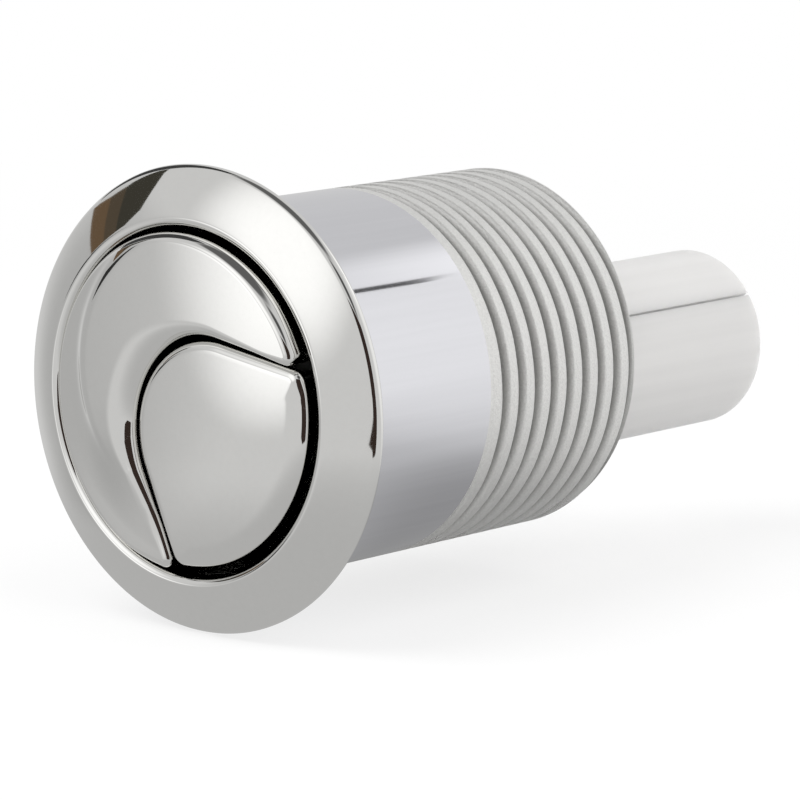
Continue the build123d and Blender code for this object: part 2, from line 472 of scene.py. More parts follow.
@dataclass(frozen=True)
class Crown:
    """Round crown of the large button: a gentle dome, a short step down and a flared rim."""

    top: float = -6.1
    right: float = 2.0
    up: float = 3.0
    flat_radius: float = 13.8
    flat_drop: float = 0.25
    step_width: float = 1.2
    step_drop: float = 0.37
    flare_width: float = 2.6
    flare_drop: float = 0.87
    soft_reach: Range = (9.5, 19.0)
    soft_below: Range = (0.2, 0.9)

    @staticmethod
    def _bow(run: float, fall: float, lean: float, along: float) -> float:
        """Fall of an arc that starts with a given lean.

        Args:
            run: Width of the arc.
            fall: Fall over the whole width.
            lean: Slope at the start, in radians.
            along: Distance from the start.

        Returns:
            Fall at that distance.
        """
        bend = math.hypot(run, fall) / (2.0 * math.sin(math.atan2(fall, run) - lean))
        side = math.copysign(1.0, bend)
        root = math.sqrt(bend**2 - (along + bend * math.sin(lean)) ** 2)
        return bend * math.cos(lean) - side * root

    def height(self, x: float, z: float) -> float:
        """Place of the front along the barrel, stepped at the sides and softened below.

        Args:
            x: Distance to the right of the axis.
            z: Distance above the axis.

        Returns:
            Y in millimetres.
        """
        reach = math.hypot(x - self.right, z - self.up)
        below = smoothstep(*self.soft_below, (self.up - z) / max(reach, SMALLEST))
        fall = self.flat_drop + self.step_drop + self.flare_drop
        soft = self.top + fall * smoothstep(*self.soft_reach, reach)
        return self._stepped(reach) * (1.0 - below) + soft * below

    def _stepped(self, reach: float) -> float:
        """Profile of the crown: dome, step and flare.

        Args:
            reach: Distance from the crown's centre.

        Returns:
            Y in millimetres.
        """
        if reach <= self.flat_radius:
            return self.top + self._bow(self.flat_radius, self.flat_drop, 0.0, reach)
        lean = 2.0 * math.atan2(self.flat_drop, self.flat_radius)
        level = self.top + self.flat_drop
        reach -= self.flat_radius
        if reach <= self.step_width:
            return level + self._bow(self.step_width, self.step_drop, lean, reach)
        lean = 2.0 * math.atan2(self.step_drop, self.step_width) - lean
        level += self.step_drop
        reach -= self.step_width
        if reach <= self.flare_width:
            return level + self._bow(self.flare_width, self.flare_drop, lean, reach)
        lean = 2.0 * math.atan2(self.flare_drop, self.flare_width) - lean
        return level + self.flare_drop + (reach - self.flare_width) * math.tan(lean)


def add_node(tree: bpy.types.NodeTree, kind: str, operation: str = "") -> bpy.types.Node:
    """Adds a shader node to a tree.

    Args:
        tree: Tree that takes the node.
        kind: Type of the node, without the ShaderNode in front.
        operation: Operation of a math node.

    Returns:
        The new node.
    """
    node = tree.nodes.new("ShaderNode" + kind)
    if operation:
        node.operation = operation
    return node


def add_ramp(
    tree: bpy.types.NodeTree,
    source: Range = (0.0, 1.0),
    target: Range = (0.0, 1.0),
    ease: Ease = Ease.LINEAR,
) -> bpy.types.Node:
    """Adds a node that maps one range of values to another.

    Args:
        tree: Tree that takes the node.
        source: Values where the ramp starts and ends.
        target: Results at these values.
        ease: How the ramp runs between them.

    Returns:
        The new node.
    """
    node = add_node(tree, "MapRange")
    node.interpolation_type = ease.value
    for label, value in zip(("From Min", "From Max", "To Min", "To Max"), source + target):
        node.inputs[label].default_value = value
    return node


def add_colour_mix(tree: bpy.types.NodeTree, first: Colour, second: Colour) -> bpy.types.Node:
    """Adds a node that mixes two colours by its factor.

    Args:
        tree: Tree that takes the node.
        first: Colour at factor 0.
        second: Colour at factor 1.

    Returns:
        The new node.
    """
    node = add_node(tree, "Mix")
    node.data_type = "RGBA"
    node.inputs["A"].default_value = first
    node.inputs["B"].default_value = second
    return node


class NodeGroups:
    """Shared shader effects, each built once as a node group."""

    relief_depth: float = 0.0001
    grain_detail: float = 4.0
    grain_roughness: float = 0.6
    soft_detail: float = 3.0
    streak_stretch: Point3 = (1.0, 0.02, 1.0)
    across_barrel: Point3 = (1.0, 0.0, 1.0)

    def __init__(self) -> None:
        """Builds the groups."""
        self.speckle = self._speckle()
        self.streaks = self._streaks()
        self.grooves = self._groove_shade_mask()
        self.lobe = self._lobe()

    @staticmethod
    def _start(
        name: str, inputs: dict[str, float | Point3], outputs: dict[str, Socket]
    ) -> tuple[bpy.types.ShaderNodeTree, bpy.types.Node, bpy.types.Node]:
        """Starts a group with its sockets.

        Args:
            name: Name of the group.
            inputs: Default of each input, a number or a vector.
            outputs: Socket type of each output.

        Returns:
            The group, its input node and its output node.
        """
        tree = bpy.data.node_groups.new(name, "ShaderNodeTree")
        for label, default in inputs.items():
            kind = Socket.VECTOR if isinstance(default, tuple) else Socket.NUMBER
            made = tree.interface.new_socket(label, in_out="INPUT", socket_type=kind.value)
            made.default_value = default
        for label, kind in outputs.items():
            tree.interface.new_socket(label, in_out="OUTPUT", socket_type=kind.value)
        return tree, tree.nodes.new("NodeGroupInput"), tree.nodes.new("NodeGroupOutput")

    def _speckle(self) -> bpy.types.ShaderNodeTree:
        """Fine grain of a surface with larger soft clouds: two masks and a normal.

        Returns:
            The group.
        """
        tree, source, sink = self._start(
            "surface_speckle",
            {"Scale": 1000.0, "Clouds": 60.0, "Relief": 0.1},
            {"Mask": Socket.NUMBER, "Clouds": Socket.NUMBER, "Normal": Socket.VECTOR},
        )
        place = add_node(tree, "TexCoord")
        fine = add_node(tree, "TexNoise")
        fine.inputs["Detail"].default_value = self.grain_detail
        fine.inputs["Roughness"].default_value = self.grain_roughness
        cloud = add_node(tree, "TexNoise")
        cloud.inputs["Detail"].default_value = self.soft_detail
        bump = add_node(tree, "Bump")
        bump.inputs["Distance"].default_value = self.relief_depth
        link = tree.links.new
        link(place.outputs["Object"], fine.inputs["Vector"])
        link(place.outputs["Object"], cloud.inputs["Vector"])
        link(source.outputs["Scale"], fine.inputs["Scale"])
        link(source.outputs["Clouds"], cloud.inputs["Scale"])
        link(source.outputs["Relief"], bump.inputs["Strength"])
        link(fine.outputs["Fac"], bump.inputs["Height"])
        link(fine.outputs["Fac"], sink.inputs["Mask"])
        link(cloud.outputs["Fac"], sink.inputs["Clouds"])
        link(bump.outputs["Normal"], sink.inputs["Normal"])
        return tree

    def _streaks(self) -> bpy.types.ShaderNodeTree:
        """Faint streaks along the barrel's axis, as drawn metal and plastic have: a mask and a normal.

        Returns:
            The group.
        """
        tree, source, sink = self._start(
            "axial_streaks",
            {"Scale": 900.0, "Relief": 0.1},
            {"Mask": Socket.NUMBER, "Normal": Socket.VECTOR},
        )
        place = add_node(tree, "TexCoord")
        stretch = add_node(tree, "Mapping")
        stretch.inputs["Scale"].default_value = self.streak_stretch
        noise = add_node(tree, "TexNoise")
        noise.inputs["Detail"].default_value = self.soft_detail
        bump = add_node(tree, "Bump")
        bump.inputs["Distance"].default_value = self.relief_depth
        link = tree.links.new
        link(place.outputs["Object"], stretch.inputs["Vector"])
        link(stretch.outputs["Vector"], noise.inputs["Vector"])
        link(source.outputs["Scale"], noise.inputs["Scale"])
        link(source.outputs["Relief"], bump.inputs["Strength"])
        link(noise.outputs["Fac"], bump.inputs["Height"])
        link(noise.outputs["Fac"], sink.inputs["Mask"])
        link(bump.outputs["Normal"], sink.inputs["Normal"])
        return tree

    def _groove_shade_mask(self) -> bpy.types.ShaderNodeTree:
        """Mask for the thread's painted groove shade: 0 on the floor of a groove, 1 on the crest.

        Returns:
            The group.
        """
        tree, source, sink = self._start(
            "thread_groove_painted_shade", {"Floor": 0.01795, "Crest": 0.0189}, {"Mask": Socket.NUMBER}
        )
        place = add_node(tree, "TexCoord")
        flat = add_node(tree, "VectorMath", "MULTIPLY")
        flat.inputs[1].default_value = self.across_barrel
        radius = add_node(tree, "VectorMath", "LENGTH")
        ramp = add_ramp(tree)
        link = tree.links.new
        link(place.outputs["Object"], flat.inputs[0])
        link(flat.outputs["Vector"], radius.inputs[0])
        link(radius.outputs["Value"], ramp.inputs["Value"])
        link(source.outputs["Floor"], ramp.inputs["From Min"])
        link(source.outputs["Crest"], ramp.inputs["From Max"])
        link(ramp.outputs["Result"], sink.inputs["Mask"])
        return tree

    def _lobe(self) -> bpy.types.ShaderNodeTree:
        """Soft round patch on the studio tent, given by a direction and two cosines.

        Returns:
            The group.
        """
        tree, source, sink = self._start(
            "tent_lobe",
            {"Outer": 0.8, "Inner": 0.95, "Gain": 0.5, "Axis": (0.0, 0.0, 1.0)},
            {"Value": Socket.NUMBER},
        )
        place = add_node(tree, "TexCoord")
        aim = add_node(tree, "VectorMath", "NORMALIZE")
        dot = add_node(tree, "VectorMath", "DOT_PRODUCT")
        ramp = add_ramp(tree, ease=Ease.SMOOTH)
        gain = add_node(tree, "Math", "MULTIPLY")
        link = tree.links.new
        link(place.outputs["Object"], aim.inputs[0])
        link(aim.outputs["Vector"], dot.inputs[0])
        link(source.outputs["Axis"], dot.inputs[1])
        link(dot.outputs["Value"], ramp.inputs["Value"])
        link(source.outputs["Outer"], ramp.inputs["From Min"])
        link(source.outputs["Inner"], ramp.inputs["From Max"])
        link(ramp.outputs["Result"], gain.inputs[0])
        link(source.outputs["Gain"], gain.inputs[1])
        link(gain.outputs["Value"], sink.inputs["Value"])
        return tree


@dataclass(frozen=True)
class Finish:
    """A surface finish: two colours mixed by a mask, a roughness range and a fine relief."""

    name: str
    light: Colour
    dark: Colour
    metallic: float
    rough: Range
    relief: float
    scale: float = 1500.0
    clouds: float = 70.0
    grain: Grain = Grain.SPECKLE
    subsurface: float = 0.0
    scatter: float = 0.003
    # Level the colour darkens to at the floor of a thread groove, as painted shade; 1 paints none
    groove: float = 1.0
    mask_middle: Range = (0.3, 0.7)

    def build(self, groups: NodeGroups) -> bpy.types.Material:
        """Makes the material.

        Args:
            groups: Shared effects.

        Returns:
            The new material.
        """
        material = bpy.data.materials.new(self.name)
        material.use_nodes = True
        tree = material.node_tree
        shader = tree.nodes["Principled BSDF"]
        streaked = self.grain is Grain.STREAKS
        effect = add_node(tree, "Group")
        effect.node_tree = groups.streaks if streaked else groups.speckle
        effect.inputs["Scale"].default_value = self.scale
        effect.inputs["Relief"].default_value = self.relief
        if not streaked:
            effect.inputs["Clouds"].default_value = self.clouds
        colour = add_colour_mix(tree, self.dark, self.light)
        rough = add_ramp(tree, self.mask_middle, self.rough)
        link = tree.links.new
        link(effect.outputs["Mask"], colour.inputs["Factor"])
        link(effect.outputs["Mask" if streaked else "Clouds"], rough.inputs["Value"])
        link(self._paint_groove_shade(tree, groups, colour.outputs["Result"]), shader.inputs["Base Color"])
        link(rough.outputs["Result"], shader.inputs["Roughness"])
        link(effect.outputs["Normal"], shader.inputs["Normal"])
        shader.inputs["Metallic"].default_value = self.metallic
        shader.inputs["Subsurface Weight"].default_value = self.subsurface
        shader.inputs["Subsurface Radius"].default_value = (1.0, 1.0, 1.0)
        shader.inputs["Subsurface Scale"].default_value = self.scatter
        return material

    def _paint_groove_shade(
        self, tree: bpy.types.ShaderNodeTree, groups: NodeGroups, colour: bpy.types.NodeSocket
    ) -> bpy.types.NodeSocket:
        """Paints shade into the thread's grooves by darkening a colour towards each groove's floor.

        Args:
            tree: Node tree of the material.
            groups: Shared effects.
            colour: Colour to darken.

        Returns:
            The colour, as it came where the finish paints no groove shade.
        """
        if self.groove >= 1.0:
            return colour
        depth = add_node(tree, "Group")
        depth.node_tree = groups.grooves
        shade = add_colour_mix(tree, grey(self.groove), grey(1.0))
        product = add_node(tree, "Mix")
        product.data_type = "RGBA"
        product.blend_type = "MULTIPLY"
        product.inputs["Factor"].default_value = 1.0
        tree.links.new(depth.outputs["Mask"], shade.inputs["Factor"])
        tree.links.new(colour, product.inputs["A"])
        tree.links.new(shade.outputs["Result"], product.inputs["B"])
        return product.outputs["Result"]


WARM = (1.0, 0.995, 0.972)
COOL = (0.99, 0.99, 1.03)
MILK = (1.0, 0.99, 0.978)
CREAM = (1.0, 1.0, 0.98)

POLISHED = Finish(
    "polished_chrome", grey(0.88, WARM), grey(0.84, WARM), metallic=1.0, rough=(0.02, 0.06), relief=0.004
)
NECK = Finish(
    "drawn_chrome",
    grey(0.84, COOL),
    grey(0.78, COOL),
    metallic=1.0,
    rough=(0.03, 0.07),
    relief=0.012,
    scale=1300.0,
    grain=Grain.STREAKS,
)
THREAD = Finish(
    "blasted_chrome",
    grey(0.93, WARM),
    grey(0.66, WARM),
    metallic=0.74,
    rough=(0.26, 0.4),
    relief=0.9,
    scale=4200.0,
    # Painted shade: the colour darkens to 0.24 of itself at the floor of each groove
    groove=0.24,
)
MILKY = Finish(
    "milky_plastic",
    grey(0.71, MILK),
    grey(0.61, MILK),
    metallic=0.0,
    rough=(0.28, 0.42),
    relief=0.05,
    scale=600.0,
    grain=Grain.STREAKS,
    subsurface=1.0,
)
WHITE = Finish(
    "white_plastic", grey(0.8, CREAM), grey(0.72, CREAM), metallic=0.0, rough=(0.4, 0.55), relief=0.1
)
BORE = Finish(
    "bore_chrome", grey(0.84), grey(0.7), metallic=1.0, rough=(0.18, 0.32), relief=0.2, scale=2600.0
)
STEEL = Finish(
    "spring_steel", grey(0.62), grey(0.5), metallic=1.0, rough=(0.2, 0.35), relief=0.05, scale=2500.0
)


@dataclass
class BezelBody:
    """Flange, neck and threaded barrel, turned from one profile, with a helical thread."""

    materials: list[bpy.types.Material]
    columns: int = 288
    opening: float = 17.5
    well_depth: float = 12.0
    lip_centre: Point2 = (18.35, -3.25)
    lip_radius: float = 0.85
    lip_lean: float = 0.3
    lip_steps: int = 24
    cone_middle: Point2 = (21.1, -3.0)
    cone_end: Point2 = (23.7, -1.5)
    cone_steps: int = 28
    cone_kept: int = 24
    rim: Corner = (23.95, -1.33, 0.8)
    seat_edge: Corner = (22.6, 0.0, 0.15)
    barrel: float = 19.0
    neck_round: float = 0.12
    neck_hold: float = 1.0
    thread_start: float = 20.6
    thread_first: float = 22.4
    thread_run_in: float = 1.6
    thread_end: float = 43.9
    barrel_end: float = 44.3
    end_chamfer: float = 0.4
    pitch: float = 2.56
    depth: float = 1.05
    flank: Range = (0.02, 0.26)
    row_step: float = 0.17
    bore: float = 16.2
    ring_groove: float = 17.1
    ring_back: float = 18.3
    guide_back: float = 17.0
    guide_front: float = 14.0
    land: float = 14.8
    mouth_round: float = 0.15
    edge_round: float = 0.1
    fine_round: float = 0.05
    bore_steps: int = 3

    def front(self) -> list[Point2]:
        """Profile from the opening over the ridge and the flange to the start of the neck.

        Returns:
            Radius and place of each point.
        """
        lip_end = 1.5 * math.pi + self.lip_lean
        lip = arc(self.lip_centre, self.lip_radius, math.pi, lip_end, self.lip_steps)
        start, end, middle = Vector(lip[-1]), Vector(self.cone_end), Vector(self.cone_middle)
        cone: list[Point2] = []
        for i in range(1, self.cone_kept + 1):
            share = i / self.cone_steps
            bow = 4.0 * share * (1.0 - share)
            cone.append(tuple(start.lerp(end, share) + (middle - (start + end) / 2.0) * bow))
        seat = [
            (*cone[-1], 0.0),
            self.rim,
            self.seat_edge,
            (self.barrel, 0.0, self.neck_round),
            (self.barrel, self.neck_hold, 0.0),
        ]
        return [(self.opening, self.well_depth)] + lip + cone[:-1] + rounded(seat)

    def back(self) -> list[Point2]:
        """Profile from the end of the thread through the stepped bore back to the well.

        Returns:
            Radius and place of each point.
        """
        return rounded(
            [
                (self.barrel, self.thread_end, 0.0),
                (self.barrel - self.end_chamfer, self.barrel_end, self.edge_round),
                (self.bore, self.barrel_end, self.mouth_round),
                (self.bore, self.ring_back, self.fine_round),
                (self.ring_groove, self.ring_back, self.fine_round),
                (self.ring_groove, self.guide_back, self.fine_round),
                (self.bore, self.guide_back, self.fine_round),
                (self.bore, self.guide_front, self.fine_round),
                (self.land, self.guide_front, self.edge_round),
                (self.land, self.well_depth, self.edge_round),
                (self.opening, self.well_depth, 0.0),
            ],
            self.bore_steps,
        )

    def thread_radius(self, turn: float, y: float) -> float:
        """Radius of the helical thread.

        Args:
            turn: Angle round the barrel as a share of a full turn.
            y: Place along the barrel.

        Returns:
            Radius in millimetres.
        """
        phase = (y - self.thread_first) / self.pitch - turn
        away = abs(phase - round(phase))
        groove = 1.0 - smoothstep(*self.flank, away)
        run_in = smoothstep(self.thread_start, self.thread_start + self.thread_run_in, y)
        return self.barrel - self.depth * groove * run_in

    def build(self) -> bpy.types.Object:
        """Makes the body and puts it in place of its CAD solid.

        Returns:
            The body.
        """
        draft = MeshDraft("bezel_body_turned")
        rows: list[list[int]] = []
        marks: list[BarrelPart] = []
        for r, y in self.front():
            rows.append(draft.row([self._spot(r, y, i) for i in range(self.columns)]))
            marks.append(self._front_part(r, y))
        length = self.thread_end - self.thread_start
        steps = int(length / self.row_step)
        for k in range(steps + 1):
            y = self.thread_start + length * k / steps
            radii = [self.thread_radius(i / self.columns, y) for i in range(self.columns)]
            rows.append(draft.row([self._spot(r, y, i) for i, r in enumerate(radii)]))
            marks.append(BarrelPart.THREAD)
        for r, y in self.back()[1:-1]:
            rows.append(draft.row([self._spot(r, y, i) for i in range(self.columns)]))
            marks.append(BarrelPart.BORE)
        for i, row in enumerate(rows):
            draft.band(row, rows[(i + 1) % len(rows)], mark=int(marks[i]))
        body = draft.build(self.materials)
        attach(body, Body.FIXED.value)
        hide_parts("bezel_body")
        return body

    def _front_part(self, radius: float, y: float) -> BarrelPart:
        """Part of the barrel that starts at a point of the front profile.

        Args:
            radius: Distance from the axis.
            y: Place along the axis.

        Returns:
            The neck once the profile has turned onto the barrel, and else the flange.
        """
        on_neck = y >= self.neck_round and abs(radius - self.barrel) < HOLD
        return BarrelPart.NECK if on_neck else BarrelPart.FLANGE

    def _spot(self, radius: float, y: float, column: int) -> Point3:
        """Point of the turned body.

        Args:
            radius: Distance from the axis.
            y: Place along the axis.
            column: Step round the axis.

        Returns:
            Point in millimetres.
        """
        turn = TAU * column / self.columns
        return (radius * math.sin(turn), y, radius * math.cos(turn))


@dataclass
class FullFlushCap:
    """Large crescent button with a crown, a fine outer edge and a broad roll into the egg pocket."""

    material: bpy.types.Material
    face: Face = field(default_factory=Face)
    crown: Crown = field(default_factory=Crown)
    radius: float = 17.1
    tip: float = 0.9
    cavity_tip: float = 0.15
    edge: float = 0.8
    ridge: float = -4.1
    edge_low: float = 0.5
    edge_high: float = 1.35
    edge_width: float = 0.35
    edge_spread: float = 0.37
    edge_blend: Range = (6.0, 24.0)
    roll: float = 5.0
    roll_end: float = 1.5
    roll_depth: float = 2.25
    roll_foot: float = -4.0
    roll_least: float = 0.5
    lower_least: float = 1.5
    least_depth: float = 0.8
    rise_limit: float = 0.95
    side_fade: float = 8.0
    upper_pinch: float = 0.45
    tip_blend: Range = (0.45, 0.86)
    sheet_ease: Range = (-0.6, 1.6)
    ceiling: float = -2.0
    count: int = 241
    edge_steps: int = 12
    across: int = 36

    def build(self) -> bpy.types.Object:
        """Makes the cap and puts it in place of its CAD solid.

        Returns:
            The cap.
        """
        draft = MeshDraft("full_flush_cap_smooth")
        gap, wall = self.face.slide_gap, self.face.wall
        outer, inner = self.face.crescent_paths(self.radius, gap, self.tip, self.count)
        cavity = self.face.crescent_paths(self.radius - wall, gap + wall, self.cavity_tip, self.count)
        loop = outer + list(reversed(inner[1:-1]))
        hollow = cavity[0] + list(reversed(cavity[1][1:-1]))
        sizes = [self._edge(u, v, min(i, len(outer) - 1 - i)) for i, (u, v) in enumerate(outer)]
        sizes += [self._roll(u, v) for u, v in loop[len(outer) :]]
        inward = inward_normals(loop)
        rows = self.face.skirt(draft, loop, hollow, self.ceiling)
        for k in range(-1, self.edge_steps + 1):
            angle = max(k, 0) * QUARTER_TURN / self.edge_steps
            points: list[Point3] = []
            for (u, v), (nu, nv), (width, depth) in zip(loop, inward, sizes):
                step = width * (1.0 - math.cos(angle))
                sink = depth * (1.0 - math.sin(angle)) + (HOLD if k < 0 else 0.0)
                x, _, z = self.face.place(u + nu * step, v + nv * step, 0.0)
                points.append((x, self.crown.height(x, z) + sink, z))
            rows.append(draft.row(points))
        for one, two in zip(rows, rows[1:]):
            draft.band(one, two)
        self._sheet(draft, rows[-1], None)
        self._sheet(draft, rows[0], self.ceiling)
        cap = draft.build([self.material])
        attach(cap, Body.FULL.value)
        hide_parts("full_flush_cap")
        return cap

    def _edge(self, u: float, v: float, steps: int) -> Point2:
        """Rounding of the outer edge, as deep as the crown stands over the ridge.

        Args:
            u: Distance along the small button's axis.
            v: Distance across it.
            steps: Points between this one and the nearer tip.

        Returns:
            Width and depth in millimetres.
        """
        x, _, z = self.face.place(u, v, 0.0)
        depth = min(max(self.ridge - self.crown.height(x, z), self.edge_low), self.edge_high)
        width = self.edge_width + self.edge_spread * depth
        share = smoothstep(*self.edge_blend, steps)
        return (self.edge + (width - self.edge) * share, self.edge + (depth - self.edge) * share)

    def _roll(self, u: float, v: float) -> Point2:
        """Roll at a point of the pocket, widest at the apex and fine at the tips.

        Args:
            u: Distance along the small button's axis.
            v: Distance across it.

        Returns:
            Width and depth in millimetres.
        """
        leave, along, outward = self.face.side(self.face.slide_gap)
        turn = max(math.atan2(abs(v), u - self.face.egg_centre), math.atan2(outward.y, outward.x))
        whole = math.sqrt(self.radius**2 - leave.dot(outward) ** 2) - leave.dot(along)
        run = min(max((Vector((u, abs(v))) - leave).dot(along), 0.0) / whole, 1.0)
        spread = (1.0 - math.cos(turn)) / 2.0 * (1.0 - run)
        x, _, z = self.face.place(u, v, 0.0)
        below = smoothstep(0.0, self.side_fade, -v)
        above = smoothstep(0.0, self.side_fade, v)
        least = self.roll_least + (self.lower_least - self.roll_least) * below
        depth = max(self.roll_foot - self.crown.height(x, z), least * self.least_depth)
        rise = min(depth / self.roll_depth, self.rise_limit)
        opened = 1.0 - math.sqrt(1.0 - rise**2)
        width = (self.roll_end + (self.roll - self.roll_end) * spread) * opened
        width = max(width * (1.0 - self.upper_pinch * above), least)
        tip = smoothstep(*self.tip_blend, run)
        return (width + (self.edge - width) * tip, depth + (self.edge - depth) * tip)

    def _sheet(self, draft: MeshDraft, row: list[int], level: float | None) -> None:
        """Fills a crescent loop with a ruled sheet.

        Args:
            draft: Mesh that takes the sheet.
            row: Closed loop, outer path first.
            level: Height of a flat sheet, or None for the crown.
        """
        outer = row[: self.count]
        inner = [row[0]] + list(reversed(row[self.count :])) + [row[self.count - 1]]
        start = smoothstep(*self.sheet_ease, 0.0)
        end = smoothstep(*self.sheet_ease, 1.0)
        before = outer
        for k in range(1, self.across):
            share = (smoothstep(*self.sheet_ease, k / self.across) - start) / (end - start)
            points: list[Point3] = []
            for a, b in zip(outer[1:-1], inner[1:-1]):
                one, two = draft.vertices[a], draft.vertices[b]
                x = one[0] + (two[0] - one[0]) * share
                z = one[2] + (two[2] - one[2]) * share
                points.append((x, self.crown.height(x, z) if level is None else level, z))
            after = [outer[0]] + draft.row(points) + [outer[-1]]
            draft.band(before, after, closed=False)
            before = after
        draft.band(before, inner, closed=False)


@dataclass
class HalfFlushCap:
    """Small egg shaped button with a faintly domed top and a rounded edge."""

    material: bpy.types.Material
    face: Face = field(default_factory=Face)
    top: float = -5.0
    corner: float = 1.6
    cavity_corner: float = 0.5
    edge: float = 1.0
    outer_edge: float = 2.2
    outer_end: Range = (0.82, 0.96)
    dome: float = 0.18
    ceiling: float = -3.3
    count: int = 181
    edge_steps: int = 12
    top_rings: tuple[float, ...] = (0.97, 0.88, 0.76, 0.62, 0.46, 0.3, 0.14)

    def build(self) -> bpy.types.Object:
        """Makes the cap and puts it in place of its CAD solid.

        Returns:
            The cap.
        """
        draft = MeshDraft("half_flush_cap_smooth")
        wall = self.face.wall
        loop = self.face.egg_loop(self.face.egg_outer, 0.0, self.corner, self.count)
        hollow = self.face.egg_loop(self.face.egg_outer - wall, -wall, self.cavity_corner, self.count)
        inward = inward_normals(loop)
        widths = [self._width(u, v) for u, v in loop]
        rows = self.face.skirt(draft, loop, hollow, self.ceiling)
        for k in range(-1, self.edge_steps + 1):
            angle = max(k, 0) * QUARTER_TURN / self.edge_steps
            sink = self.edge * (1.0 - math.sin(angle)) + (HOLD if k < 0 else 0.0)
            ring: list[Point3] = []
            for (u, v), n, width in zip(loop, inward, widths):
                step = width * (1.0 - math.cos(angle))
                a, b = u + n[0] * step, v + n[1] * step
                ring.append(self.face.place(a, b, self._level(a, b) + sink))
            rows.append(draft.row(ring))
        centre = (self.face.egg_centre, 0.0)
        for share in self.top_rings:
            ring = []
            for (u, v), n, width in zip(loop, inward, widths):
                a = centre[0] + (u + n[0] * width - centre[0]) * share
                b = (v + n[1] * width) * share
                ring.append(self.face.place(a, b, self._level(a, b)))
            rows.append(draft.row(ring))
        for one, two in zip(rows, rows[1:]):
            draft.band(one, two)
        draft.fan(rows[-1], draft.row([self.face.place(*centre, self.top)])[0])
        draft.fan(list(reversed(rows[0])), draft.row([self.face.place(*centre, self.ceiling)])[0])
        cap = draft.build([self.material])
        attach(cap, Body.HALF.value)
        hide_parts("half_flush_cap")
        return cap

    def _level(self, u: float, v: float) -> float:
        """Place of the faintly domed top along the barrel.

        Args:
            u: Distance along the small button's axis.
            v: Distance across it.

        Returns:
            Y in millimetres.
        """
        return self.top + self.dome * ((u - self.face.egg_centre) ** 2 + v**2) / self.face.egg_radius**2

    def _width(self, u: float, v: float) -> float:
        """Width of the edge's rounding, broadest on the outer arc.

        Args:
            u: Distance along the small button's axis.
            v: Distance across it.

        Returns:
            Width in millimetres.
        """
        turn = abs(math.degrees(math.atan2(v, u)))
        share = 1.0 - smoothstep(*self.outer_end, turn / self.face.corner_angle)
        return self.edge + (self.outer_edge - self.edge) * share


@dataclass
class ReturnSpring:
    """Round wire spring that stands in for its CAD solid."""

    material: bpy.types.Material
    node: str
    joint: str
    travel: float = 6.0
    wire: float = 0.4
    turns: int = 5
    sides: int = 10
    steps: int = 48

    def build(self) -> bpy.types.Object:
        """Makes the spring and puts it in place of its CAD solid.

        Returns:
            The spring.
        """
        low, high = (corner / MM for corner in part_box(self.node))
        centre = (low + high) / 2.0
        radius = (high.x - low.x) / 2.0 - self.wire
        length = high.y - low.y - 2.0 * self.wire
        draft = MeshDraft(self.node + "_wire")
        rows: list[list[int]] = []
        total = self.turns * self.steps
        for i in range(total + 1):
            turn = TAU * i / self.steps
            out = Vector((math.sin(turn), 0.0, math.cos(turn)))
            middle = Vector((centre.x, low.y + self.wire + length * i / total, centre.z)) + out * radius
            rows.append(draft.row(self._ring(middle, out)))
        for one, two in zip(rows, rows[1:]):
            draft.band(one, two)
        draft.face(tuple(reversed(rows[0])))
        draft.face(tuple(rows[-1]))
        spring = draft.build([self.material])
        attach(spring, Body.FIXED.value)
        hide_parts(self.node)
        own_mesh(spring)
        return spring

    def _ring(self, middle: Vector, out: Vector) -> list[Point3]:
        """Points round the wire.

        Args:
            middle: Centre of the wire.
            out: Direction away from the spring's axis.

        Returns:
            Points in millimetres.
        """
        ring: list[Point3] = []
        for k in range(self.sides):
            angle = TAU * k / self.sides
            rise = Vector((0.0, self.wire * math.sin(angle), 0.0))
            ring.append(tuple(middle + out * (self.wire * math.cos(angle)) + rise))
        return ring


@dataclass
class PlainNodes:
    """CAD solids that keep their form and only take a finish."""

    material: bpy.types.Material
    slot: Slot
    nodes: tuple[str, ...]

    def build(self) -> list[bpy.types.Object]:
        """Gives each solid its material.

        Returns:
            The solids.
        """
        made: list[bpy.types.Object] = []
        for name in self.nodes:
            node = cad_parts[name]
            node.data.materials.clear()
            node.data.materials.append(self.material)
            made.append(node)
        return made


def heading(azimuth: float, elevation: float) -> Vector:
    """Direction from the button.

    Args:
        azimuth: Degrees from straight in front of the face towards +X.
        elevation: Degrees upwards.

    Returns:
        Unit vector.
    """
    turn, lift = math.radians(azimuth), math.radians(elevation)
    return Vector((math.sin(turn) * math.cos(lift), -math.cos(turn) * math.cos(lift), math.sin(lift)))


def aimed(*corners: Point2, distance: float = 0.8) -> tuple[Point3, ...]:
    """Places of a card's corners round the button.

    Args:
        corners: Azimuth and elevation of each corner in degrees, as seen from the button.
        distance: Distance from the button in metres.

    Returns:
        Places in metres.
    """
    return tuple(tuple(heading(*corner) * distance) for corner in corners)


def reflector(name: str, mesh: bpy.types.Mesh, material: bpy.types.Material) -> bpy.types.Object:
    """Links a piece of the studio that only shows in polished surfaces.

    Args:
        name: Name of the object.
        mesh: Its mesh, in metres.
        material: Its glow.

    Returns:
        The new object.
    """
    mesh.materials.append(material)
    made = bpy.data.objects.new(name, mesh)
    bpy.context.scene.collection.objects.link(made)
    made.visible_camera = False
    made.visible_diffuse = False
    made.visible_shadow = False
    return made


def glowing(name: str) -> tuple[bpy.types.Material, bpy.types.Node]:
    """Starts a material that only glows.

    Args:
        name: Name of the material.

    Returns:
        The material and its emission node at strength 1.
    """
    material = bpy.data.materials.new(name)
    material.use_nodes = True
    tree = material.node_tree
    tree.nodes.remove(tree.nodes["Principled BSDF"])
    glow = add_node(tree, "Emission")
    glow.inputs["Strength"].default_value = 1.0
    tree.links.new(glow.outputs["Emission"], tree.nodes["Material Output"].inputs["Surface"])
    return material, glow


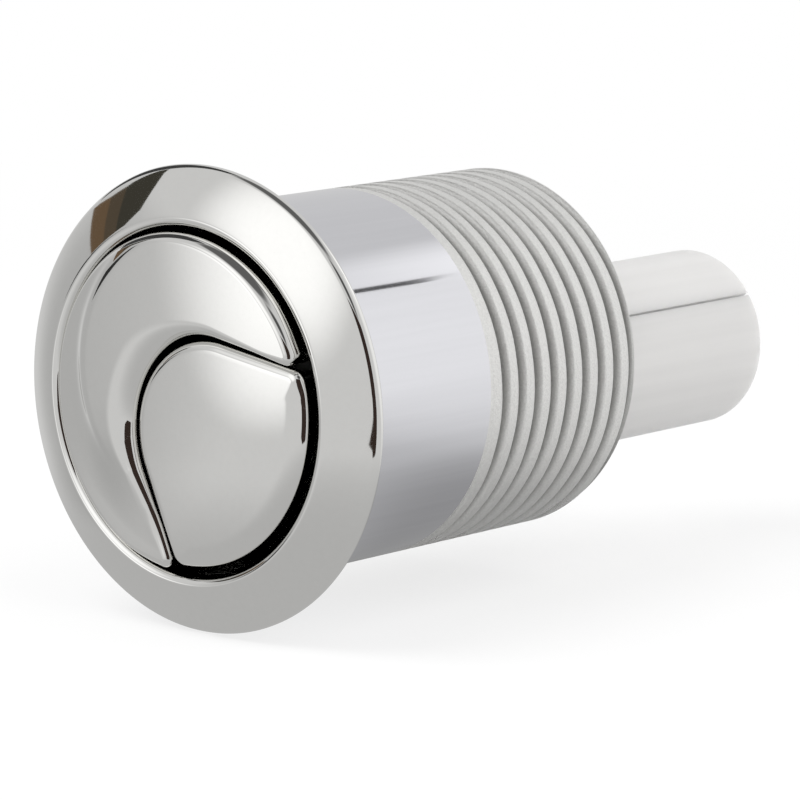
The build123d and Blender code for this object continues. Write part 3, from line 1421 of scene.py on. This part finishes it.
def show_white(tree: bpy.types.NodeTree) -> bpy.types.NodeSocket:
    """Share of rays that should see the plain white background.

    Args:
        tree: Node tree that takes the nodes.

    Returns:
        Socket that is 1 on camera, glossy and transmission rays.
    """
    path = add_node(tree, "LightPath")
    first = add_node(tree, "Math", "MAXIMUM")
    second = add_node(tree, "Math", "MAXIMUM")
    tree.links.new(path.outputs["Is Camera Ray"], first.inputs[0])
    tree.links.new(path.outputs["Is Glossy Ray"], first.inputs[1])
    tree.links.new(first.outputs["Value"], second.inputs[0])
    tree.links.new(path.outputs["Is Transmission Ray"], second.inputs[1])
    return second.outputs["Value"]


@dataclass(frozen=True)
class Card:
    """A plain reflector with corners in metres."""

    name: str
    corners: tuple[Point3, ...]
    colour: Colour

    def build(self) -> bpy.types.Object:
        """Makes the card.

        Returns:
            The card.
        """
        mesh = bpy.data.meshes.new(self.name)
        mesh.from_pydata(list(self.corners), [], [tuple(range(len(self.corners)))])
        material, glow = glowing(self.name)
        glow.inputs["Color"].default_value = self.colour
        return reflector(self.name, mesh, material)


@dataclass(frozen=True)
class Lobe:
    """A soft bright or dim patch of the studio tent; angles are in degrees."""

    azimuth: float
    elevation: float
    inner: float
    outer: float
    gain: float

    def build(self, tree: bpy.types.NodeTree, groups: NodeGroups) -> bpy.types.NodeSocket:
        """Adds the patch to the tent's material.

        Args:
            tree: Node tree of the material.
            groups: Shared effects.

        Returns:
            Socket with the patch's share of the glow.
        """
        node = add_node(tree, "Group")
        node.node_tree = groups.lobe
        node.inputs["Axis"].default_value = heading(self.azimuth, self.elevation)
        node.inputs["Outer"].default_value = math.cos(math.radians(self.outer))
        node.inputs["Inner"].default_value = math.cos(math.radians(self.inner))
        node.inputs["Gain"].default_value = self.gain
        return node.outputs["Value"]


@dataclass(frozen=True)
class Shade:
    """A painted shadow of the object: a soft dim patch on the mat of the tent; sizes are in metres."""

    place: Point3
    start: float
    end: float
    level: float

    def build(self, tree: bpy.types.NodeTree) -> bpy.types.NodeSocket:
        """Adds the painted shadow patch to the tent's material.

        Args:
            tree: Node tree of the material.

        Returns:
            Socket with the factor of the glow.
        """
        place = add_node(tree, "TexCoord")
        length = add_node(tree, "VectorMath", "DISTANCE")
        length.inputs[1].default_value = self.place
        fade = add_ramp(tree, (self.start, self.end), (self.level, 1.0), Ease.SMOOTH)
        tree.links.new(place.outputs["Object"], length.inputs[0])
        tree.links.new(length.outputs["Value"], fade.inputs["Value"])
        return fade.outputs["Result"]


@dataclass(frozen=True)
class Tent:
    """Grey tent round the object, with a mat on the floor, that the chrome mirrors; sizes in metres."""

    groups: NodeGroups
    floor: float
    radius: float = 1.0
    pole: float = 0.0005
    mat_rings: tuple[float, ...] = (0.0005, 0.03, 0.06, 0.12, 0.25, 0.5)
    dome_steps: int = 24
    columns: int = 64
    base: float = 0.64
    # Painted shadows of the object on the mat: one round the middle of the face and one under the barrel
    shades: tuple[Shade, ...] = (
        Shade((0.0, 0.0, 0.0), 0.031, 0.088, 0.75),
        Shade((0.0, 0.04, 0.0), 0.026, 0.044, 0.62),
    )
    lobes: tuple[Lobe, ...] = (
        Lobe(-13.0, 28.0, 5.5, 31.0, 0.52),
        Lobe(147.0, 16.0, 7.0, 40.0, 0.28),
        Lobe(-34.0, 0.0, 1.0, 11.5, 0.6),
        Lobe(172.0, 30.0, 4.5, 14.5, 0.36),
        Lobe(-70.0, -5.0, 10.5, 34.0, -0.18),
        Lobe(0.0, 90.0, 22.0, 32.0, -0.52),
        Lobe(62.0, 46.0, 8.0, 17.0, -0.56),
    )

    def build(self) -> bpy.types.Object:
        """Makes the tent.

        Returns:
            The tent.
        """
        rings: list[Point2] = [(r, self.floor) for r in self.mat_rings]
        for i in range(self.dome_steps + 1):
            lift = QUARTER_TURN * i / self.dome_steps
            reach = self.radius * math.cos(lift) + self.pole
            rings.append((reach, self.floor + self.radius * math.sin(lift)))
        turns = [TAU * c / self.columns for c in range(self.columns)]
        vertices = [(r * math.cos(turn), r * math.sin(turn), z) for r, z in rings for turn in turns]
        faces: list[tuple[int, ...]] = []
        for i in range(len(rings) - 1):
            one, two = i * self.columns, (i + 1) * self.columns
            for c in range(self.columns):
                beside = (c + 1) % self.columns
                faces.append((one + c, one + beside, two + beside, two + c))
        mesh = bpy.data.meshes.new("tent")
        mesh.from_pydata(vertices, [], faces)
        return reflector("tent", mesh, self._material())

    def _material(self) -> bpy.types.Material:
        """Glow of the tent: a plain grey with the lobes on it, and painted shadow that dims the mat close to
        the object.

        Returns:
            The material.
        """
        material, glow = glowing("tent")
        tree = material.node_tree
        total: bpy.types.NodeSocket | None = None
        for lobe in self.lobes:
            plus = add_node(tree, "Math", "ADD")
            plus.inputs[0].default_value = self.base
            if total is not None:
                tree.links.new(total, plus.inputs[0])
            tree.links.new(lobe.build(tree, self.groups), plus.inputs[1])
            total = plus.outputs["Value"]
        for shade in self.shades:
            level = add_node(tree, "Math", "MULTIPLY")
            tree.links.new(total, level.inputs[0])
            tree.links.new(shade.build(tree), level.inputs[1])
            total = level.outputs["Value"]
        tree.links.new(total, glow.inputs["Color"])
        return material


@dataclass(frozen=True)
class Floor:
    """Pale floor that shows as white and keeps the object's shadow; sizes are in metres."""

    level: float
    reach: float = 6.0
    colour: Colour = grey(0.9)
    roughness: float = 0.8
    fade: Range = (0.06, 0.4)
    white: Range = (0.75, 1.0)

    def build(self) -> bpy.types.Object:
        """Lays the floor.

        Returns:
            The floor.
        """
        sides = ((-1.0, -1.0), (1.0, -1.0), (1.0, 1.0), (-1.0, 1.0))
        mesh = bpy.data.meshes.new("floor")
        mesh.from_pydata([(x * self.reach, y * self.reach, self.level) for x, y in sides], [], [(0, 1, 2, 3)])
        mesh.materials.append(self._material())
        floor = bpy.data.objects.new("floor", mesh)
        bpy.context.scene.collection.objects.link(floor)
        return floor

    def _material(self) -> bpy.types.Material:
        """Matt floor that takes light, mixed with white for the rays that see the background.

        Returns:
            The material.
        """
        material = bpy.data.materials.new("floor")
        material.use_nodes = True
        tree = material.node_tree
        shader = tree.nodes["Principled BSDF"]
        shader.inputs["Base Color"].default_value = self.colour
        shader.inputs["Roughness"].default_value = self.roughness
        shader.inputs["Specular IOR Level"].default_value = 0.0
        glow = add_node(tree, "Emission")
        mix = add_node(tree, "MixShader")
        place = add_node(tree, "TexCoord")
        length = add_node(tree, "VectorMath", "LENGTH")
        fade = add_ramp(tree, self.fade, self.white, Ease.SMOOTH)
        share = add_node(tree, "Math", "MULTIPLY")
        link = tree.links.new
        link(place.outputs["Object"], length.inputs[0])
        link(length.outputs["Value"], fade.inputs["Value"])
        link(show_white(tree), share.inputs[0])
        link(fade.outputs["Result"], share.inputs[1])
        link(share.outputs["Value"], mix.inputs["Fac"])
        link(shader.outputs["BSDF"], mix.inputs[1])
        link(glow.outputs["Emission"], mix.inputs[2])
        link(mix.outputs["Shader"], tree.nodes["Material Output"].inputs["Surface"])
        return material


@dataclass(frozen=True)
class Surroundings:
    """World with a soft grey light that is seen as white."""

    light: Colour = grey(0.55)
    seen: Colour = grey(1.0)

    def build(self) -> bpy.types.World:
        """Makes the world.

        Returns:
            The world.
        """
        world = bpy.data.worlds.new("studio")
        bpy.context.scene.world = world
        world.use_nodes = True
        tree = world.node_tree
        mix = add_colour_mix(tree, self.light, self.seen)
        tree.links.new(show_white(tree), mix.inputs["Factor"])
        tree.links.new(mix.outputs["Result"], tree.nodes["Background"].inputs["Color"])
        return world


@dataclass(frozen=True)
class Lamp:
    """Soft square lamp that looks at the object; sizes are in metres and the power in watts."""

    name: str
    place: Point3
    size: float
    power: float

    def build(self) -> bpy.types.Object:
        """Hangs the lamp.

        Returns:
            The lamp.
        """
        data = bpy.data.lights.new(self.name, "AREA")
        data.size = self.size
        data.energy = self.power
        lamp = bpy.data.objects.new(self.name, data)
        bpy.context.scene.collection.objects.link(lamp)
        lamp.location = self.place
        lamp.rotation_mode = "QUATERNION"
        lamp.rotation_quaternion = (-Vector(self.place)).to_track_quat("-Z", "Y")
        lamp.visible_glossy = False
        return lamp


@dataclass(frozen=True)
class PhotoCamera:
    """Camera at the photograph's viewing angle; its place is in metres, its lens in millimetres."""

    place: Point3 = (0.3066, -0.3252, 0.0764)
    right: Point3 = (0.7557, 0.6549, 0.0)
    ahead: Point3 = (-0.6454, 0.7448, -0.1690)
    lens: float = 205.2
    sensor: float = 36.0
    nearest: float = 0.01

    def build(self) -> bpy.types.Object:
        """Makes the camera and gives it to the scene.

        Returns:
            The camera.
        """
        data = bpy.data.cameras.new("camera")
        data.lens = self.lens
        data.sensor_width = self.sensor
        data.clip_start = self.nearest
        camera = bpy.data.objects.new("camera", data)
        bpy.context.scene.collection.objects.link(camera)
        right = Vector(self.right).normalized()
        ahead = Vector(self.ahead).normalized()
        up = right.cross(ahead)
        turn = Matrix((right, up, -ahead)).transposed().to_4x4()
        camera.matrix_world = Matrix.Translation(self.place) @ turn
        bpy.context.scene.camera = camera
        return camera


EARTH_DARK = (0.035, 0.024, 0.02, 1.0)
UMBER_DARK = (0.045, 0.042, 0.033, 1.0)
UMBER_MID = (0.08, 0.062, 0.043, 1.0)
UMBER_LIGHT = (0.13, 0.085, 0.05, 1.0)
BACK_GREY = grey(0.05)
LOW_GREY = grey(0.03)
ROOF_GREY = grey(0.02)

# Height in metres of the dark card that lies on the tent's mat
MAT_TOP = -0.0229


@dataclass
class Studio:
    """Floor, world, tent, lamps, reflector cards and camera."""

    groups: NodeGroups
    floor_level: float = -23.7
    tent_lift: float = 0.3
    cards: tuple[Card, ...] = (
        Card("left_dark", aimed((-78.0, 22.5), (-69.5, 34.0), (-62.3, 20.0), (-63.5, 12.0)), UMBER_DARK),
        Card("left_mid", aimed((-82.0, 18.5), (-78.0, 22.5), (-63.5, 12.0), (-65.0, 9.0)), UMBER_MID),
        Card("left_brown", aimed((-88.0, 14.0), (-82.0, 18.5), (-65.0, 9.0), (-68.0, 7.0)), UMBER_LIGHT),
        Card(
            "left_back",
            aimed((-88.0, 16.0), (-72.0, 36.0), (-84.0, 60.0), (-122.0, 62.0), (-122.0, 16.0)),
            BACK_GREY,
        ),
        Card("left_low", aimed((-70.0, 5.0), (-52.0, 6.0), (-54.0, -1.0), (-69.0, -1.0)), LOW_GREY),
        Card("right_dark", aimed((26.0, -1.6), (70.0, -1.6), (70.0, 30.0), (26.0, 30.0)), EARTH_DARK),
        Card(
            "right_mat",
            (
                (0.051, -0.053, MAT_TOP),
                (0.072, -0.0255, MAT_TOP),
                (0.75, -0.26, MAT_TOP),
                (0.385, -0.715, MAT_TOP),
                (0.05, -0.078, MAT_TOP),
            ),
            EARTH_DARK,
        ),
        Card("roof_edge", aimed((155.3, 37.0), (157.3, 34.8), (159.2, 35.9), (157.3, 38.1)), ROOF_GREY),
    )
    lamps: tuple[Lamp, ...] = (
        Lamp("key_lamp", (-0.25, -0.45, 0.75), 0.7, 6.0),
        Lamp("fill_lamp", (0.65, 0.1, 0.6), 0.8, 3.5),
    )

    def build(self) -> None:
        """Sets up everything round the object."""
        Floor(self.floor_level * MM).build()
        Surroundings().build()
        Tent(self.groups, (self.floor_level + self.tent_lift) * MM).build()
        for card in self.cards:
            card.build()
        for lamp in self.lamps:
            lamp.build()
        PhotoCamera().build()
        bpy.context.scene.view_settings.view_transform = "Standard"


def main() -> None:
    """Builds every piece in order."""
    logging.basicConfig(level=logging.INFO, format="%(message)s")
    groups = NodeGroups()
    polished = POLISHED.build(groups)
    steel = STEEL.build(groups)
    white = WHITE.build(groups)
    milky = MILKY.build(groups)
    barrel_finishes = [polished, NECK.build(groups), THREAD.build(groups), BORE.build(groups)]
    log.info("piece %s", BezelBody(barrel_finishes).build().name)
    log.info("piece %s", FullFlushCap(polished).build().name)
    log.info("piece %s", HalfFlushCap(polished).build().name)
    for name in ("full_flush", "half_flush"):
        log.info("piece %s", ReturnSpring(steel, name + "_spring", name + "_slide").build().name)
    plain = (
        PlainNodes(white, Slot.WHITE, ("full_flush_slider", "half_flush_slider", "guide_plate")),
        PlainNodes(milky, Slot.MILKY, ("full_flush_rod", "half_flush_rod")),
        PlainNodes(steel, Slot.STEEL, ("retaining_ring",)),
    )
    for group in plain:
        for node in group.build():
            log.info("piece %s", node.name)
    Studio(groups).build()


if __name__ == "__main__":
    main()
